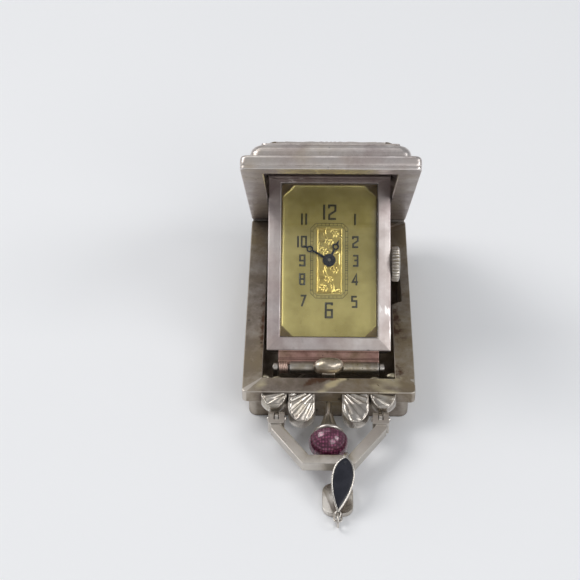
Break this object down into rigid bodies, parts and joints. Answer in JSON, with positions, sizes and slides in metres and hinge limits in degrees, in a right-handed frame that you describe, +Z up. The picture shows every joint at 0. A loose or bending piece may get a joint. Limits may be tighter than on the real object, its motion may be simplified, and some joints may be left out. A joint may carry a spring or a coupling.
{
  "type": "fob watch",
  "caption": "Oblong fob watch: a sprung watch head in a hinged silver tray and lid, with an enamel push piece, a bow and a leaf link.",
  "frame": {"origin": "centre of the tray's flat back", "axes": "+X to the crown's side, +Y from the bow to the lid hinge, +Z up out of the tray"},
  "size_m": [0.024, 0.0579, 0.0354],
  "materials": {
    "case_silver": "tarnished silver with yellow and brown stains, bright worn edges",
    "bezel_silver": "polished silver with pink and purple-brown tarnish",
    "fitting_silver": "worn silver, dark in the recesses",
    "copper_strip": "dull copper-pink metal",
    "glass": "clear bevelled glass with fine scratches",
    "dial_gilt": "champagne gilt, frosted, with an embossed floral centre",
    "dial_ink": "black printed and engraved marks",
    "blued_steel": "blued steel",
    "bead_enamel": "purple-pink translucent enamel over engine turning",
    "leaf_enamel": "blue-black enamel",
    "gilt_works": "gilt brass, grained",
    "steel_works": "polished steel"
  },
  "bodies": {
    "case": {"tray": "case_silver", "hinge_ears": "fitting_silver", "watch_hinge_pin": "fitting_silver", "torsion_spring": "copper_strip", "lid_hinge_pin": "fitting_silver", "pusher_spring": "steel_works", "inner_petals": "fitting_silver", "outer_petals": "fitting_silver", "bow_lugs": "fitting_silver", "bow_pins": "fitting_silver"},
    "lid": {"lid": "case_silver", "lid_relief": "case_silver"},
    "watch_head": {"heel_barrel": "fitting_silver", "heel_plate": "copper_strip", "bezel": "bezel_silver", "crystal": "glass", "case_band": "bezel_silver", "case_back": "bezel_silver", "dial": "dial_gilt", "dial_markings": "dial_ink", "movement_ring": "steel_works", "main_plate": "gilt_works", "barrel_bridge": "gilt_works", "train_bridge": "gilt_works", "balance_cock": "gilt_works", "ratchet_wheel": "steel_works", "crown_wheel": "steel_works", "click": "steel_works", "bridge_screws": "blued_steel"},
    "push_piece": {"catch_head": "fitting_silver", "push_rod": "fitting_silver", "lotus_cap": "fitting_silver", "bead_collar": "fitting_silver", "enamel_bead": "bead_enamel"},
    "bow": {"bow": "fitting_silver"},
    "leaf": {"leaf_loop": "fitting_silver", "leaf_frame": "fitting_silver", "leaf_enamel": "leaf_enamel", "jump_ring": "fitting_silver"},
    "end_link": {"end_link": "fitting_silver"},
    "winding_pinion": {"winding_pinion": "steel_works"},
    "crown": {"crown": "fitting_silver", "stem": "steel_works"},
    "minute_hand": {"minute_hand": "blued_steel", "cannon_pinion": "steel_works"},
    "minute_wheel": {"minute_wheel": "gilt_works"},
    "hour_hand": {"hour_hand": "blued_steel", "hour_wheel": "gilt_works"},
    "fourth_wheel": {"fourth_wheel": "gilt_works"},
    "centre_wheel": {"centre_wheel": "gilt_works"},
    "third_wheel": {"third_wheel": "gilt_works"},
    "escape_wheel": {"escape_wheel": "steel_works"},
    "barrel": {"barrel": "gilt_works"},
    "pallet_fork": {"pallet_fork": "steel_works"},
    "balance": {"balance_wheel": "gilt_works", "hairspring": "blued_steel"}
  },
  "joints": [
    {"name": "lid_hinge", "type": "hinge", "parent": "case", "child": "lid", "pos_m": [0, 0.0183, 0.0058], "axis": [1, 0, 0], "range_deg": [0, 50.8], "stiffness_Nm_per_rad": 0.006, "springref_deg": -31.51},
    {"name": "watch_tilt", "type": "hinge", "parent": "case", "child": "watch_head", "pos_m": [0, -0.0127, 0.0048], "axis": [1, 0, 0], "range_deg": [-36, 0]},
    {"name": "push_slide", "type": "slide", "parent": "case", "child": "push_piece", "axis": [0, 1, 0], "range_m": [0, 0.0006], "stiffness_N_per_m": 250, "springref_m": -0.0006},
    {"name": "bow_swing", "type": "hinge", "parent": "case", "child": "bow", "pos_m": [0, -0.0212, 0.0035], "axis": [-1, 0, 0], "range_deg": [-15, 90]},
    {"name": "leaf_swing", "type": "hinge", "parent": "bow", "child": "leaf", "pos_m": [0.00225, -0.02895, 0.0035], "axis": [-1, 0, 0], "range_deg": [-20, 60]},
    {"name": "end_link_swing", "type": "hinge", "parent": "leaf", "child": "end_link", "pos_m": [0.00125, -0.03673, 0.00113], "axis": [-1, 0, 0], "range_deg": [-8, 60]},
    {"name": "crown_turn", "type": "hinge", "parent": "watch_head", "child": "winding_pinion", "pos_m": [0.005, 0.00073, 0.01252], "axis": [1, 0, 0], "continuous": true},
    {"name": "crown_pull", "type": "slide", "parent": "winding_pinion", "child": "crown", "axis": [1, 0, 0], "range_m": [0, 0.0004]},
    {"name": "minute_hand_turn", "type": "hinge", "parent": "watch_head", "child": "minute_hand", "pos_m": [0, 0.00021, 0.01362], "axis": [0, -0.5878, 0.809], "continuous": true},
    {"name": "minute_wheel_turn", "type": "hinge", "parent": "watch_head", "child": "minute_wheel", "pos_m": [-0.0015, -0.00007, 0.0123], "axis": [0, -0.5878, 0.809], "continuous": true},
    {"name": "hour_hand_turn", "type": "hinge", "parent": "watch_head", "child": "hour_hand", "pos_m": [0, 0.00038, 0.01338], "axis": [0, -0.5878, 0.809], "continuous": true},
    {"name": "fourth_wheel_turn", "type": "hinge", "parent": "watch_head", "child": "fourth_wheel", "pos_m": [-0.0003, 0.00479, 0.0146], "axis": [0, -0.5878, 0.809], "continuous": true},
    {"name": "third_wheel_turn", "type": "hinge", "parent": "watch_head", "child": "third_wheel", "pos_m": [0.0026, 0.00334, 0.01355], "axis": [0, -0.5878, 0.809], "continuous": true},
    {"name": "centre_wheel_turn", "type": "hinge", "parent": "watch_head", "child": "centre_wheel", "pos_m": [0, 0.0012, 0.01224], "axis": [0, -0.5878, 0.809], "continuous": true},
    {"name": "escape_wheel_turn", "type": "hinge", "parent": "watch_head", "child": "escape_wheel", "pos_m": [-0.0012, 0.00718, 0.01634], "axis": [0, -0.5878, 0.809], "continuous": true},
    {"name": "barrel_turn", "type": "hinge", "parent": "watch_head", "child": "barrel", "pos_m": [-0.002, -0.00191, 0.00973], "axis": [0, -0.5878, 0.809], "continuous": true},
    {"name": "pallet_rock", "type": "hinge", "parent": "watch_head", "child": "pallet_fork", "pos_m": [0.0004, 0.00743, 0.01627], "axis": [0, -0.5878, 0.809], "range_deg": [-5, 5]},
    {"name": "balance_swing", "type": "hinge", "parent": "watch_head", "child": "balance", "pos_m": [0.0033, 0.00771, 0.01673], "axis": [0, -0.5878, 0.809], "range_deg": [-220, 220], "stiffness_Nm_per_rad": 0.00000004}
  ],
  "couplings": [
    {"joint": "watch_tilt", "follows": "lid_hinge", "ratio": -0.70866},
    {"joint": "minute_wheel_turn", "follows": "minute_hand_turn", "ratio": -0.33333},
    {"joint": "hour_hand_turn", "follows": "minute_hand_turn", "ratio": 0.083333},
    {"joint": "third_wheel_turn", "follows": "fourth_wheel_turn", "ratio": -0.13333},
    {"joint": "centre_wheel_turn", "follows": "fourth_wheel_turn", "ratio": 0.016667},
    {"joint": "escape_wheel_turn", "follows": "fourth_wheel_turn", "ratio": -10},
    {"joint": "barrel_turn", "follows": "fourth_wheel_turn", "ratio": -0.002381}
  ]
}
